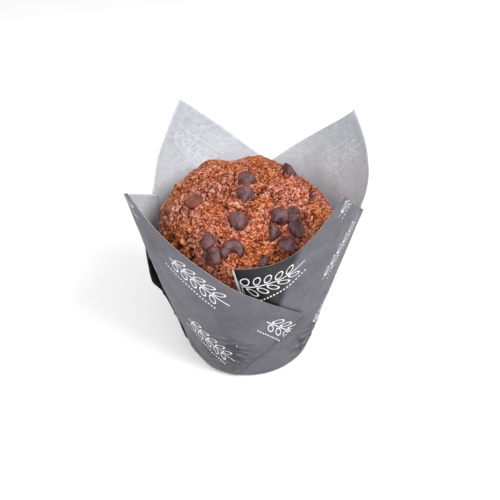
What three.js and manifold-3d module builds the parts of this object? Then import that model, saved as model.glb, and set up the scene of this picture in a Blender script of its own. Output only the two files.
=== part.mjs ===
// A chocolate-chip muffin standing in a folded tulip paper.
// Millimetres, +Z up. The origin is the centre of the paper's flat base.
import * as THREE from 'three';
import { mergeVertices } from 'three/addons/utils/BufferGeometryUtils.js';
import Module from 'manifold-3d';

// Paper: one square sheet pressed into a cup, whose four corners stand up as petals.
const BASE_RADIUS = 25.6;
const BASE_FLAT_RADIUS = 23.6;
const BASE_EDGE_HEIGHT = 1.8;
const PAPER_THICKNESS = 0.8;
const WALL_ROWS = 8;

// Muffin: it fills the paper up to the shoulder, then rises into a domed crown.
const CROWN_CENTRE = new THREE.Vector2(-0.5, 1.5);
const CROWN_RADIUS = 35.3;
const CROWN_BASE_HEIGHT = 60;
const CROWN_RISE = 22;
const SHOULDER_HEIGHT = 41;
const CROWN_LUMP = 0.7;
const CROWN_ROWS = 9;
const SIDE_ROWS = 3;

// Chocolate chips: teardrops with a flat base.
const CHIP_RADIUS = 3.5;
const CHIP_HEIGHT = 5;
const CHIP_SIDES = 9;

// Clear gap between touching pieces.
const GAP = 0.35;

// Sides of everything turned about the vertical axis.
const SIDES = 72;

// Petals and notches run anticlockwise, seen from above, starting at the rear right. flare is how far
// the wall leans out for each millimetre of height. before and after bend the petal's two sides: 1 is a
// straight side, more than 1 falls quickly from the tip and less than 1 falls slowly.
const PETALS = [
  { azimuth: 34, height: 95, flare: 0.285, before: 0.95, after: 1.25 },
  { azimuth: 125, height: 94.5, flare: 0.245, before: 1.35, after: 1.15 },
  { azimuth: 219.5, height: 94, flare: 0.298, before: 1.15, after: 1.4 },
  { azimuth: 312, height: 94.5, flare: 0.259, before: 2.4, after: 1.5 },
];

// Between two petals the rim drops to a notch. Across a pleat its two sides stop at different heights.
const NOTCHES = [
  { azimuth: 76, before: 66, after: 66 },
  { azimuth: 160, before: 63, after: 63 },
  { azimuth: 264, before: 58, after: 69 },
  { azimuth: 352, before: 72, after: 72 },
];

// Pleats: the folded layer lies on the wall between two azimuths. Its free fold runs from low to high,
// its rim from rim to high, and lift is how far the fold stands off the wall.
const PLEATS = [
  { from: 258, to: 308, low: 8, high: 36, rim: 60, lift: 0 },
  { from: 168, to: 188, low: 18, high: 30, rim: 58, lift: 4 },
  { from: 74, to: 104, low: 8, high: 44, rim: 62, lift: 0 },
  { from: 346, to: 378, low: 10, high: 46, rim: 66, lift: 0 },
];

// Chips: azimuth round the crown, tilt down from its top, then how the chip sits: lean tips its point
// away from the surface's normal towards the heading, sink is its depth in the crumb.
const CHIPS = [
  { azimuth: 271, tilt: 11, lean: 82, heading: 262, sink: 2.5, size: 1.1 },
  { azimuth: 268.5, tilt: 25, lean: 80, heading: 262, sink: 2.4, size: 1.1 },
  { azimuth: 20, tilt: 33, lean: 82, heading: 12, sink: 2.7, size: 1.1 },
  { azimuth: 211, tilt: 40.5, lean: 175, heading: 200, sink: 4.4, size: 1 },
  { azimuth: 201, tilt: 60, lean: 80, heading: 290, sink: 3.4, size: 1 },
  { azimuth: 264.5, tilt: 47.5, lean: 72, heading: 268, sink: 2.2, size: 1.1 },
  { azimuth: 300.5, tilt: 44.5, lean: 62, heading: 240, sink: 2.3, size: 0.95 },
  { azimuth: 316, tilt: 47.5, lean: 150, heading: 330, sink: 3.6, size: 0.9 },
  { azimuth: 292.5, tilt: 56, lean: 84, heading: 5, sink: 2.6, size: 0.95 },
  { azimuth: 311, tilt: 58.5, lean: 155, heading: 190, sink: 3.7, size: 0.95 },
  { azimuth: 299.5, tilt: 67, lean: 72, heading: 95, sink: 2.3, size: 0.98 },
  { azimuth: 243.5, tilt: 61, lean: 72, heading: 80, sink: 2.5, size: 1 },
  { azimuth: 250, tilt: 73.5, lean: 78, heading: 75, sink: 2.3, size: 1.08 },
  { azimuth: 262.5, tilt: 68, lean: 95, heading: 20, sink: 2.4, size: 1.05 },
  { azimuth: 282, tilt: 79, lean: 120, heading: 300, sink: 3.2, size: 0.75 },
  { azimuth: 346, tilt: 49, lean: 100, heading: 0, sink: 2.9, size: 0.5 },
  { azimuth: 122, tilt: 74, lean: 50, heading: 120, sink: 3.2, size: 1 },
  { azimuth: 98, tilt: 67, lean: 150, heading: 60, sink: 4.2, size: 1 },
  { azimuth: 76, tilt: 78, lean: 100, heading: 90, sink: 2.9, size: 0.95 },
  { azimuth: 58, tilt: 72, lean: 60, heading: 30, sink: 3.2, size: 1 },
  { azimuth: 146, tilt: 84, lean: 70, heading: 150, sink: 3.2, size: 0.95 },
];

const wasm = await Module();
wasm.setup();

const radians = THREE.MathUtils.degToRad;

function smoothstep(t) {
  return t * t * (3 - 2 * t);
}

// How far azimuth lies past start, going anticlockwise, from 0 up to 360 degrees.
function turnFrom(start, azimuth) {
  return (((azimuth - start) % 360) + 360) % 360;
}

// The wall's lean eases from one petal's flare to the next.
function flareAt(azimuth) {
  for (let i = 0; i < PETALS.length; i += 1) {
    const petal = PETALS[i];
    const next = PETALS[(i + 1) % PETALS.length];
    const span = turnFrom(petal.azimuth, next.azimuth);
    const turn = turnFrom(petal.azimuth, azimuth);
    if (turn < span) return THREE.MathUtils.lerp(petal.flare, next.flare, smoothstep(turn / span));
  }
  return PETALS[0].flare;
}

// Rim height: from each petal's tip down to the notch after it, then up to the next tip.
function rimHeightAt(azimuth) {
  for (let i = 0; i < PETALS.length; i += 1) {
    const petal = PETALS[i];
    const notch = NOTCHES[i];
    const next = PETALS[(i + 1) % PETALS.length];
    const turn = turnFrom(petal.azimuth, azimuth);
    const toNotch = turnFrom(petal.azimuth, notch.azimuth);
    const toNext = turnFrom(petal.azimuth, next.azimuth);
    if (turn < toNotch) {
      const rise = (1 - turn / toNotch) ** petal.after;
      return notch.before + (petal.height - notch.before) * rise;
    }
    if (turn < toNext) {
      const rise = ((turn - toNotch) / (toNext - toNotch)) ** next.before;
      return notch.after + (next.height - notch.after) * rise;
    }
  }
  return PETALS[0].height;
}

// Outer radius of the paper, with its bottom edge eased in to the flat base.
function wallRadius(azimuth, height) {
  const edge = Math.min(height / BASE_EDGE_HEIGHT, 1);
  const easing = (BASE_RADIUS - BASE_FLAT_RADIUS) * (1 - Math.sqrt(1 - (1 - edge) ** 2));
  return BASE_RADIUS - easing + flareAt(azimuth) * height;
}

// Azimuth of a turned form's side. The side nearest to a petal's tip or a notch runs right through it.
function sideAzimuth(side) {
  const even = (360 * side) / SIDES;
  const corner = [...PETALS, ...NOTCHES].find(({ azimuth }) => Math.abs(azimuth - even) < 180 / SIDES);
  return corner ? corner.azimuth : even;
}

function polar(radius, azimuth, height) {
  const angle = radians(azimuth);
  return new THREE.Vector3(radius * Math.cos(angle), radius * Math.sin(angle), height);
}

// A closed form turned about the vertical axis: place(row, azimuth) gives each point, and the first
// and last rows lie on the axis.
function turned(rows, place) {
  const profile = Array.from({ length: rows }, (_, row) => new THREE.Vector2(row, row));
  const geometry = new THREE.LatheGeometry(profile, SIDES);
  const position = geometry.attributes.position;
  for (let k = 0; k < position.count; k += 1) {
    const point = place(k % rows, sideAzimuth(Math.floor(k / rows) % SIDES));
    position.setXYZ(k, point.x, point.y, point.z);
  }
  return geometry;
}

// A thin closed patch: place(u, v, w) maps the unit box, u along it, v up it and w through it.
function patch(columns, rows, place) {
  const geometry = new THREE.BoxGeometry(1, 1, 1, columns, rows, 1);
  const position = geometry.attributes.position;
  for (let k = 0; k < position.count; k += 1) {
    const point = place(position.getX(k) + 0.5, position.getY(k) + 0.5, position.getZ(k) + 0.5);
    position.setXYZ(k, point.x, point.y, point.z);
  }
  return geometry;
}

function toSolid(source) {
  const bare = source.clone();
  bare.deleteAttribute('normal');
  bare.deleteAttribute('uv');
  const merged = mergeVertices(bare);
  const index = merged.index.array;
  const triangles = [];
  for (let k = 0; k < index.length; k += 3) {
    const [a, b, c] = [index[k], index[k + 1], index[k + 2]];
    if (a !== b && b !== c && c !== a) triangles.push(a, b, c);
  }
  return new wasm.Manifold(new wasm.Mesh({
    numProp: 3,
    vertProperties: new Float32Array(merged.attributes.position.array),
    triVerts: new Uint32Array(triangles),
  }));
}

function toGeometry(solid) {
  const mesh = solid.getMesh();
  const geometry = new THREE.BufferGeometry();
  geometry.setAttribute('position', new THREE.BufferAttribute(mesh.vertProperties, 3));
  geometry.setIndex(new THREE.BufferAttribute(mesh.triVerts, 1));
  geometry.computeVertexNormals();
  return geometry;
}

function material(color, roughness) {
  return new THREE.MeshStandardMaterial({ color, roughness, metalness: 0 });
}

// The cup of the paper: floor, outer face up to the rim, and inner face back down to the floor.
function paperCup() {
  const outerRows = [0, 0.08, 0.3, 1];
  const edgeRows = outerRows.map((share) => share * BASE_EDGE_HEIGHT);
  const rows = 1 + edgeRows.length + WALL_ROWS + WALL_ROWS + 1 + 1;
  const heightAt = (step, azimuth, foot) => foot + ((rimHeightAt(azimuth) - foot) * step) / WALL_ROWS;
  return turned(rows, (row, azimuth) => {
    if (row === 0) return new THREE.Vector3(0, 0, 0);
    if (row === rows - 1) return new THREE.Vector3(0, 0, PAPER_THICKNESS);
    if (row <= edgeRows.length) {
      const height = edgeRows[row - 1];
      return polar(wallRadius(azimuth, height), azimuth, height);
    }
    const step = row - edgeRows.length;
    if (step <= WALL_ROWS) {
      const height = heightAt(step, azimuth, BASE_EDGE_HEIGHT);
      return polar(wallRadius(azimuth, height), azimuth, height);
    }
    const height = heightAt(2 * WALL_ROWS + 1 - step, azimuth, PAPER_THICKNESS);
    return polar(wallRadius(azimuth, height) - PAPER_THICKNESS, azimuth, height);
  });
}

// A pleat's outer layer. It grows out of the wall at one side and ends in its free fold.
function pleatLayer(pleat) {
  const columns = 12;
  const rows = 4;
  const root = PAPER_THICKNESS / 2;
  const tipWidth = 1.5;
  return patch(columns, rows, (u, v, w) => {
    const fold = THREE.MathUtils.lerp(pleat.low, pleat.high, u);
    const rim = THREE.MathUtils.lerp(pleat.rim, pleat.high + tipWidth, u);
    const height = THREE.MathUtils.lerp(fold, rim, v);
    const azimuth = THREE.MathUtils.lerp(pleat.from, pleat.to, u);
    const lift = pleat.lift * u * Math.sin(Math.PI * v);
    const outward = -root + lift + w * (root + PAPER_THICKNESS * Math.min(4 * u, 1));
    return polar(wallRadius(azimuth, height) + outward, azimuth, height);
  });
}

function makePaperWrap() {
  let solid = toSolid(paperCup());
  for (const pleat of PLEATS) solid = solid.add(toSolid(pleatLayer(pleat)));
  return new THREE.Mesh(toGeometry(solid), material(0x76757d, 0.6));
}

// A soft unevenness that runs round the crown and fades out at the paper.
function lump(azimuth, rise) {
  const angle = radians(azimuth);
  const broad = Math.sin(3 * angle + 1.1) + 0.7 * Math.sin(5 * angle + 4 * rise);
  const fine = 0.5 * Math.sin(8 * angle - 3 * rise);
  return CROWN_LUMP * (broad + fine) * Math.sin(Math.PI * Math.min(rise, 0.5));
}

function crownPoint(azimuth, elevation) {
  const rise = Math.sin(radians(elevation));
  const radius = (CROWN_RADIUS + lump(azimuth, 1 - rise)) * Math.cos(radians(elevation));
  const point = polar(radius, azimuth, CROWN_BASE_HEIGHT + CROWN_RISE * rise);
  return point.add(new THREE.Vector3(CROWN_CENTRE.x, CROWN_CENTRE.y, 0));
}

// Moves a point in towards the axis until it clears the paper's inner face.
function insidePaper(point) {
  const azimuth = THREE.MathUtils.radToDeg(Math.atan2(point.y, point.x));
  const limit = wallRadius(azimuth, point.z) - PAPER_THICKNESS - GAP;
  const radius = Math.hypot(point.x, point.y);
  const share = Math.min(1, limit / radius);
  return new THREE.Vector3(point.x * share, point.y * share, point.z);
}

// The baked crumb: flat foot, side against the paper, straight shoulder and domed crown.
function crumbBody() {
  const foot = PAPER_THICKNESS + GAP;
  const sideHeights = Array.from({ length: SIDE_ROWS + 1 }, (_, step) => (
    THREE.MathUtils.lerp(foot, SHOULDER_HEIGHT, step / SIDE_ROWS)
  ));
  const rows = 1 + sideHeights.length + CROWN_ROWS + 1;
  return turned(rows, (row, azimuth) => {
    if (row === 0) return new THREE.Vector3(0, 0, foot);
    if (row === rows - 1) return crownPoint(azimuth, 90);
    if (row <= sideHeights.length) {
      return insidePaper(crownPoint(azimuth, 0).setZ(sideHeights[row - 1]));
    }
    const step = row - sideHeights.length - 1;
    return insidePaper(crownPoint(azimuth, (90 * step) / CROWN_ROWS));
  });
}

function chipProfile() {
  const [r, h] = [CHIP_RADIUS, CHIP_HEIGHT];
  return [
    [0, 0], [0.82 * r, 0], [r, 0.14 * h], [0.97 * r, 0.38 * h], [0.76 * r, 0.62 * h],
    [0.42 * r, 0.81 * h], [0, h],
  ].map(([radius, height]) => new THREE.Vector2(radius, height - h / 2));
}

// Seats a chip on the crown: its axis leans from the crown's normal, and its middle is sunk in.
function seatChip(mesh, chip) {
  const angle = radians(chip.azimuth);
  const tilt = radians(chip.tilt);
  const across = new THREE.Vector3(Math.cos(angle), Math.sin(angle), 0);
  const surface = new THREE.Vector3(CROWN_CENTRE.x, CROWN_CENTRE.y, CROWN_BASE_HEIGHT)
    .addScaledVector(across, CROWN_RADIUS * Math.sin(tilt))
    .addScaledVector(new THREE.Vector3(0, 0, 1), CROWN_RISE * Math.cos(tilt));
  const normal = across.clone().multiplyScalar(Math.sin(tilt) / CROWN_RADIUS)
    .add(new THREE.Vector3(0, 0, Math.cos(tilt) / CROWN_RISE)).normalize();
  const heading = new THREE.Vector3(Math.cos(radians(chip.heading)), Math.sin(radians(chip.heading)), 0);
  const sideways = heading.addScaledVector(normal, -heading.dot(normal)).normalize();
  const axis = normal.clone().multiplyScalar(Math.cos(radians(chip.lean)))
    .addScaledVector(sideways, Math.sin(radians(chip.lean)));
  mesh.quaternion.setFromUnitVectors(new THREE.Vector3(0, 1, 0), axis);
  mesh.scale.setScalar(chip.size);
  mesh.position.copy(surface).addScaledVector(normal, CHIP_HEIGHT / 2 - chip.sink);
  mesh.updateMatrixWorld(true);
}

function makeChips() {
  const geometry = new THREE.LatheGeometry(chipProfile(), CHIP_SIDES);
  return CHIPS.map((chip, index) => {
    const mesh = new THREE.Mesh(geometry, material(0x4a2b28, 0.45));
    mesh.name = `chocolate_chip_${String(index + 1).padStart(2, '0')}`;
    seatChip(mesh, chip);
    return mesh;
  });
}

// The space that a chip takes out of the crumb: the chip's own form, larger by the gap all round.
function chipSocket(mesh) {
  const growth = 1 + GAP / (CHIP_HEIGHT / 2);
  const cutter = mesh.geometry.clone();
  cutter.scale(growth, growth, growth);
  cutter.applyMatrix4(mesh.matrixWorld);
  return toSolid(cutter);
}

function makeMuffin(chips) {
  let solid = toSolid(crumbBody());
  for (const chip of chips) solid = solid.subtract(chipSocket(chip));
  return new THREE.Mesh(toGeometry(solid), material(0x9a5637, 0.9));
}

const wrap = makePaperWrap();
wrap.name = 'paper_wrap';

const chips = makeChips();

const muffin = makeMuffin(chips);
muffin.name = 'muffin';

const group = new THREE.Group();
group.add(wrap, muffin, ...chips);

export default group;
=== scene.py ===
"""A chocolate chip muffin in a folded tulip paper: its looks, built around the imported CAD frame.

Lengths are in millimetres and angles in degrees unless a name says otherwise; new_piece() turns points
into Blender's metres. Azimuth runs anticlockwise from +X, seen from above.
"""

import math

import bmesh
import bpy
import numpy as np
from mathutils import Euler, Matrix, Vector
from mathutils.bvhtree import BVHTree


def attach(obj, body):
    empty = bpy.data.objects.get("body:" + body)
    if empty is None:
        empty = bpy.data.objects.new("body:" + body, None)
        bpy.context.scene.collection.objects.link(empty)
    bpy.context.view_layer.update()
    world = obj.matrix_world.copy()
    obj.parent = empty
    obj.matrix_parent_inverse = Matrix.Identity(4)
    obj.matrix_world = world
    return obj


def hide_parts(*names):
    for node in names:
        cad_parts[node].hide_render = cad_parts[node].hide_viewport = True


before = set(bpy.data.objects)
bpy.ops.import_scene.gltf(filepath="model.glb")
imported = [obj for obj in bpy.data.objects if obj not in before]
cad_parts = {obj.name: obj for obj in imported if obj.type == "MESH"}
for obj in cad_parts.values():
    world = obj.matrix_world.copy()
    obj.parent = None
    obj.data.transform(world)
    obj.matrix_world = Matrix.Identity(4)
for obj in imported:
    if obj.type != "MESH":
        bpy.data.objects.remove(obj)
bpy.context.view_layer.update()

MM = 0.001

# ---------------------------------------------------------------- camera, light and floor

CAMERA_PLACE = (1.25, -271.5, 235.7)
CAMERA_DOWN = 34.8
CAMERA_LENS = 57.6
CAMERA_SENSOR = 36.0

WORLD_STRENGTH = 0.7
KEY_PLACE = (480, -350, 640)
KEY_SIZE = 480
KEY_WATTS = 6.9
FILL_PLACE = (-260, -500, 540)
FILL_SIZE = 700
FILL_WATTS = 4.4
LIGHTS_AIM_HEIGHT = 50
FLOOR_SIDE = 5000

# ---------------------------------------------------------------- paper: driving dimensions

SHEET_SIDE = 175.0
SHEET_THICKNESS = 0.16
BASE_RADIUS = 25.6
BASE_EDGE = 2.0
LAYER_STEP = 0.38

# Petals run anticlockwise from the rear right. flare is how far the wall leans out per millimetre of
# height.
PETALS = [
    {"azimuth": 34.0, "height": 96.3, "flare": 0.285},
    {"azimuth": 125.0, "height": 96.0, "flare": 0.245},
    {"azimuth": 219.5, "height": 94.3, "flare": 0.298},
    {"azimuth": 312.0, "height": 95.5, "flare": 0.259},
]

# Where the wall bows in or, if depth is below 0, out: azimuth and its spread, height and its spread, and
# depth.
BOWS = [
    (203, 11, 95, 30, 2.6),
    (216, 18, 8, 14, 1.3),
    (2, 20, 74, 22, -1.2),
    (338, 14, 82, 26, 0.9),
]

# A pleat follows each petal. The petal runs on outside the next one as far as its outer fold, turns
# back under itself to the inner fold, and there the next petal starts. Both folds leave the base at
# root, and each is given by its azimuth and height at the rim. dip is where the first petal's rim
# crosses the second's. fall and rise shape the rims down to the dip and up to the next tip: 1 is
# straight, and less than 1 is steeper at the tip going down and at the fold going up. lift holds the
# outer fold off the wall, tuck draws the inner one in to the crumb, and curl swings its top round.
# The last entry is how much of the paper, back from its inner and its outer fold, is painted near black:
# painted shade for the shadow deep in the pleat.
PLEATS = [
    {"root": 76, "outer": (106, 46), "dip": (76, 66), "inner": (74, 66), "fall": 0.88, "rise": 1.25,
     "lift": 0.3, "tuck": 0.8, "curl": 0.0, "painted_shade_reach": (0.0, 0.0)},
    {"root": 187, "outer": (195, 49), "dip": (157, 65), "inner": (156, 64), "fall": 1.0, "rise": 1.15,
     "lift": 2.2, "tuck": 0.8, "curl": 0.0, "painted_shade_reach": (0.0, 0.3)},
    {"root": 258, "outer": (308.5, 36), "dip": (263, 59.5), "inner": (271.5, 65), "fall": 0.82, "rise": 1.9,
     "lift": 0.2, "tuck": 5.5, "curl": -8.5, "painted_shade_reach": (0.6, 0.0)},
    {"root": 352, "outer": (377, 56), "dip": (352, 70.5), "inner": (350, 73), "fall": 0.82, "rise": 1.3,
     "lift": 0.3, "tuck": 0.8, "curl": 0.0, "painted_shade_reach": (0.0, 0.0)},
]
# How far an outer fold springs off the layer under it.
FOLD_STAND_OFF = 0.8
# Degrees over which a rim bends at the dip.
RIM_BLEND = 24.0

# Where the wall is crushed into short creases, by azimuth and height, and how far that spreads.
CRUSHED = [(253, 18), (64, 17), (152, 24), (331, 14)]
CRUSHED_SPREAD = (19, 10)
# The radius at which lengths round the wall are reckoned, and a smaller one that draws the level creases
# out to nearly three times their width.
WALL_RADIUS = 34
CREASE_LENGTH = 12

# Each petal's quarter of the flat sheet, in degrees about its middle: from the tip to the outer fold,
# the pleat's middle layer, and from the inner fold to the next tip.
OUTER_SHARE = 45.3
INNER_SHARE = 21.0
MIDDLE_SHARE = 90 - OUTER_SHARE - INNER_SHARE

# Half a petal, a pleat's middle layer, and a fold's half circle are divided into this many columns.
PANEL_COLUMNS = 46
MIDDLE_COLUMNS = 14
FOLD_COLUMNS = 5
SHEET_ROWS = 84
MERGE_DISTANCE = 0.005

# The print: rows of a small ear of wheat, each with a line of short dashes beside it, from PRINT_FOOT up.
ROW_PITCH = 30.0
FIRST_ROW = 9.0
EAR_PITCH = 47.0
PRINT_FOOT = 3.5
# An ear has a stem and, on both sides of it, a row of leaning grains, each an outlined oval. A half is
# half a length or a width, and a side is how far from the stem.
STEM_MIDDLE, STEM_HALF, STEM_HALF_WIDTH = 1.0, 14.5, 0.2
GRAINS_HALF = 11.5
GRAIN_SIDE = 2.3
GRAIN_PITCH = 4.6
GRAIN_LEAN = 38
GRAIN_HALF, GRAIN_HALF_WIDTH = 2.6, 1.15
GRAIN_LINE, GRAIN_LINE_HALF_WIDTH = 0.78, 0.22
DASHES_HALF = 13.0
DASH_SIDE = 6.2
DASH_PITCH = 1.4
DASH_HALF, DASH_HALF_WIDTH = 0.38, 0.3

# ---------------------------------------------------------------- crumb and chips

CROWN_CENTRE = (-0.5, 1.5)
CROWN_RADIUS = 35.3
CROWN_BASE = 60.0
CROWN_RISE = 22.0
CROWN_RINGS = 122

# Swells and hollows where the crown rose unevenly: middle x and y, width, and height.
SWELLS = [(-14, 22, 5, 1.3), (-6.5, 24, 4.5, -2.2), (5, 24, 6, 1.2), (17, 20, 6, -1.4), (27, 14, 8, -2.4),
          (-27, 15, 9, -1.8), (-22, 4, 7, 0.7), (-4, -12, 9, 0.8), (14, 4, 8, 0.6), (8, -26, 7, -0.6),
          (-14, -10, 5, -0.8), (4, -22, 5, 0.6)]

# The crumb's side is finely divided down to SIDE_FINE_END and plain from there to its foot, and it keeps
# its clearance from the paper's outer face.
SIDE_FINE_END = 42.0
SIDE_FINE_ROWS = 40
SIDE_PLAIN_ROWS = 10
FOOT_HEIGHT = 1.0
CRUMB_CLEARANCE = 1.7
# The crumb's clumps and its coarse and fine grains, by width, and how deep its pits are.
CLUMP_SIZE = 3.2
COARSE_SIZE = 1.5
FINE_SIZE = 0.8
PIT_DEPTH = 1.4
# The gap round a chip in its socket, and the lip round it: its height, where its top is, and its width.
SOCKET_GAP = 0.12
LIP_HEIGHT = 0.6
LIP_PLACE = 0.35
LIP_WIDTH = 0.4
# How far past a chip's size the crumb is searched for its socket.
SOCKET_REACH = 2.5

CHIP_RADIUS = 3.5
CHIP_HEIGHT = 5.0
CHIP_RINGS = 22
CHIP_SIDES = 40

# Chips: azimuth round the crown and tilt down from its top, then lean, heading, sink, size, bend and
# wide. lean tips a chip's point away from the crown's normal towards the heading, and sink is its depth
# in the crumb. bend draws its point to one side, and wide stretches it across.
CHIPS = [
    (271, 11, 82, 258, 2.6, 1.1, 0.3, 1.15),
    (268.5, 25.5, 74, 256, 2.4, 1.1, 0.3, 1.15),
    (20, 33, 82, 12, 2.7, 1.22, 0.0, 1.0),
    (211, 40.5, 175, 200, 4.4, 1.05, 0.0, 1.0),
    (201, 60, 80, 290, 3.4, 1.05, 0.4, 0.9),
    (264.5, 47, 62, 268, 2.0, 1.12, 0.3, 1.05),
    (298, 45, 70, 235, 2.3, 1.1, 0.3, 1.1),
    (313, 48.5, 150, 330, 3.6, 1.05, 0.3, 1.1),
    (293.5, 55.5, 84, 0, 2.9, 1.0, 0.3, 1.0),
    (308, 57, 155, 190, 3.6, 1.08, 0.2, 1.05),
    (299.5, 65.5, 66, 95, 2.3, 1.15, 0.2, 1.2),
    (243.5, 62, 48, 80, 2.3, 1.1, 0.5, 1.0),
    (250, 71.5, 52, 75, 2.1, 1.16, 0.3, 1.0),
    (262, 68.5, 0, 90, 2.0, 1.08, 0.0, 1.0),
    (282, 79, 120, 300, 3.2, 0.75, 0.3, 1.0),
    (346, 49, 100, 0, 2.8, 0.55, 0.0, 1.0),
    (122, 74, 50, 120, 3.2, 1.0, 0.3, 1.0),
    (98, 67, 150, 60, 4.2, 1.0, 0.0, 1.0),
    (76, 78, 100, 90, 2.9, 0.95, 0.4, 1.0),
    (58, 72, 60, 30, 3.2, 1.0, 0.2, 1.1),
    (146, 84, 70, 150, 3.2, 0.95, 0.3, 1.0),
]
# The chips that a film of baked crumb still covers, by number, and the one that curled.
FILMED_CHIPS = (4, 5)
CURLED_CHIP = 14
# How many flats are pressed on a chip, and where each starts, as a share of the chip's reach.
CHIP_FLATS = 3
FLAT_SHARE = (0.76, 0.96)
CURL_RADIUS = 2.8
CURL_SPAN = (-12, 212)
CURL_STRETCH = 1.22
CURL_THICKNESS = 1.75
CURL_SHIFT = 1.2

# ---------------------------------------------------------------- numeric helpers


def smoothstep(t):
    t = np.clip(t, 0.0, 1.0)
    return t * t * (3 - 2 * t)


def lattice(ix, iy, iz, seed):
    """A repeatable random number from 0 to 1 for each whole-numbered cell."""
    n = (ix * 73856093) ^ (iy * 19349663) ^ (iz * 83492791) ^ (seed * 40503001)
    n = ((n ^ (n >> 13)) & 0x7FFFFFFF) * 1274126177
    n = (n ^ (n >> 16)) & 0xFFFFFF
    return n / float(0x1000000)


def noise(points, size, seed):
    """Smooth noise from -1 to 1, with features about size across."""
    q = np.asarray(points, float) / size
    cell = np.floor(q).astype(np.int64)
    f = smoothstep(q - cell)
    total = np.zeros(len(q))
    for dx in (0, 1):
        wx = f[:, 0] if dx else 1 - f[:, 0]
        for dy in (0, 1):
            wy = f[:, 1] if dy else 1 - f[:, 1]
            for dz in (0, 1):
                wz = f[:, 2] if dz else 1 - f[:, 2]
                corner = lattice(cell[:, 0] + dx, cell[:, 1] + dy, cell[:, 2] + dz, seed)
                total += wx * wy * wz * corner
    return 2 * total - 1


def cells(points, size, seed):
    """For each point, the distance to the nearest of scattered seeds, how much further the next one is,
    and a random number that belongs to the nearest. Distances are in units of size."""
    q = np.asarray(points, float) / size
    home = np.floor(q).astype(np.int64)
    first = np.full(len(q), 9.0)
    second = np.full(len(q), 9.0)
    own = np.zeros(len(q))
    for dx in (-1, 0, 1):
        for dy in (-1, 0, 1):
            for dz in (-1, 0, 1):
                ix, iy, iz = home[:, 0] + dx, home[:, 1] + dy, home[:, 2] + dz
                sx = ix + lattice(ix, iy, iz, seed)
                sy = iy + lattice(ix, iy, iz, seed + 101)
                sz = iz + lattice(ix, iy, iz, seed + 202)
                gap = np.sqrt((q[:, 0] - sx) ** 2 + (q[:, 1] - sy) ** 2 + (q[:, 2] - sz) ** 2)
                nearer = gap < first
                second = np.where(nearer, first, np.minimum(second, gap))
                own = np.where(nearer, lattice(ix, iy, iz, seed + 303), own)
                first = np.where(nearer, gap, first)
    return first, second - first, own


def new_piece(name, points, faces):
    """A smooth-shaded object from points in millimetres, in the part's frame."""
    mesh = bpy.data.meshes.new(name)
    mesh.from_pydata((np.asarray(points) * MM).tolist(), [], faces)
    mesh.update()
    mesh.polygons.foreach_set("use_smooth", [True] * len(mesh.polygons))
    piece = bpy.data.objects.new(name, mesh)
    bpy.context.scene.collection.objects.link(piece)
    return piece


def mesh_normals(points, faces):
    mesh = bpy.data.meshes.new("normals")
    mesh.from_pydata(points.tolist(), [], faces)
    normals = np.zeros(len(points) * 3, np.float32)
    mesh.vertex_normals.foreach_get("vector", normals)
    bpy.data.meshes.remove(mesh)
    return normals.reshape(-1, 3).astype(float)


def add_number(mesh, name, values):
    layer = mesh.attributes.new(name, "FLOAT", "POINT")
    layer.data.foreach_set("value", np.asarray(values, np.float32))


# ---------------------------------------------------------------- the wall of the paper


def flare_at(azimuth):
    """The wall's lean, easing from one petal's flare to the next."""
    azimuth = np.asarray(azimuth, float)
    flare = np.zeros_like(azimuth)
    for petal, following in zip(PETALS, PETALS[1:] + PETALS[:1]):
        span = (following["azimuth"] - petal["azimuth"]) % 360
        turn = np.mod(azimuth - petal["azimuth"], 360)
        eased = petal["flare"] + (following["flare"] - petal["flare"]) * smoothstep(turn / span)
        flare = np.where(turn < span, eased, flare)
    return flare


def wall_radius(azimuth, height):
    """Outer radius of the paper's wall, with its bottom edge eased in to the flat base."""
    edge = np.clip(1 - height / BASE_EDGE, 0, 1)
    bowed = 0.0
    for at, spread, level, tall, depth in BOWS:
        turn = (azimuth - at + 180) % 360 - 180
        bowed = bowed + depth * np.exp(-(turn / spread) ** 2 - ((height - level) / tall) ** 2)
    straight = BASE_RADIUS - BASE_EDGE * (1 - np.sqrt(1 - edge ** 2)) + flare_at(azimuth) * height
    return straight - bowed


def polar(radius, azimuth, height):
    angle = np.radians(azimuth)
    return np.stack([radius * np.cos(angle), radius * np.sin(angle), height + 0 * angle], -1)


# ---------------------------------------------------------------- the folded sheet


def over_rim(petal, pleat, azimuth):
    """Rim height from a petal's tip down to its outer fold: two runs, eased into each other."""
    dip_azimuth, dip_height = pleat["dip"]
    outer_azimuth, outer_height = pleat["outer"]
    share = (azimuth - petal["azimuth"]) / (dip_azimuth - petal["azimuth"])
    run = (outer_height - dip_height) / (outer_azimuth - dip_azimuth)
    upper = petal["height"] + (dip_height - petal["height"]) * share ** pleat["fall"]
    lower = dip_height + run * (azimuth - dip_azimuth)
    past = smoothstep((azimuth - dip_azimuth) / RIM_BLEND + 0.5)
    return upper + (lower - upper) * past


def column(root, rim, height, sheet, out, pleat, inner=0.0, outer=0.0, slide=0.0):
    """One strip of the sheet from the base to the rim.

    root and rim are its azimuths at the base and the rim, height its height at the rim and sheet its
    direction on the flat sheet. out is how far it lies outside the innermost layer. inner and outer
    are 1 at the pleat's inner and outer fold and 0 away from it, and slide moves it round the wall.
    """
    return dict(root=root, rim=rim, height=height, sheet=sheet, out=out, pleat=pleat, inner=inner,
                outer=outer, slide=slide)


def fold(ends, out_from, out_to, way, **where):
    """Columns round a half circle, from one layer's distance out to the next one's."""
    middle, half = (out_from + out_to) / 2, (out_from - out_to) / 2
    turns = np.pi * np.arange(1, FOLD_COLUMNS) / FOLD_COLUMNS
    root, rim, height, sheet = ends
    return [column(root, rim, height, sheet, middle + half * math.cos(a),
                   slide=way * abs(half) * math.sin(a), **where) for a in turns]


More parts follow.
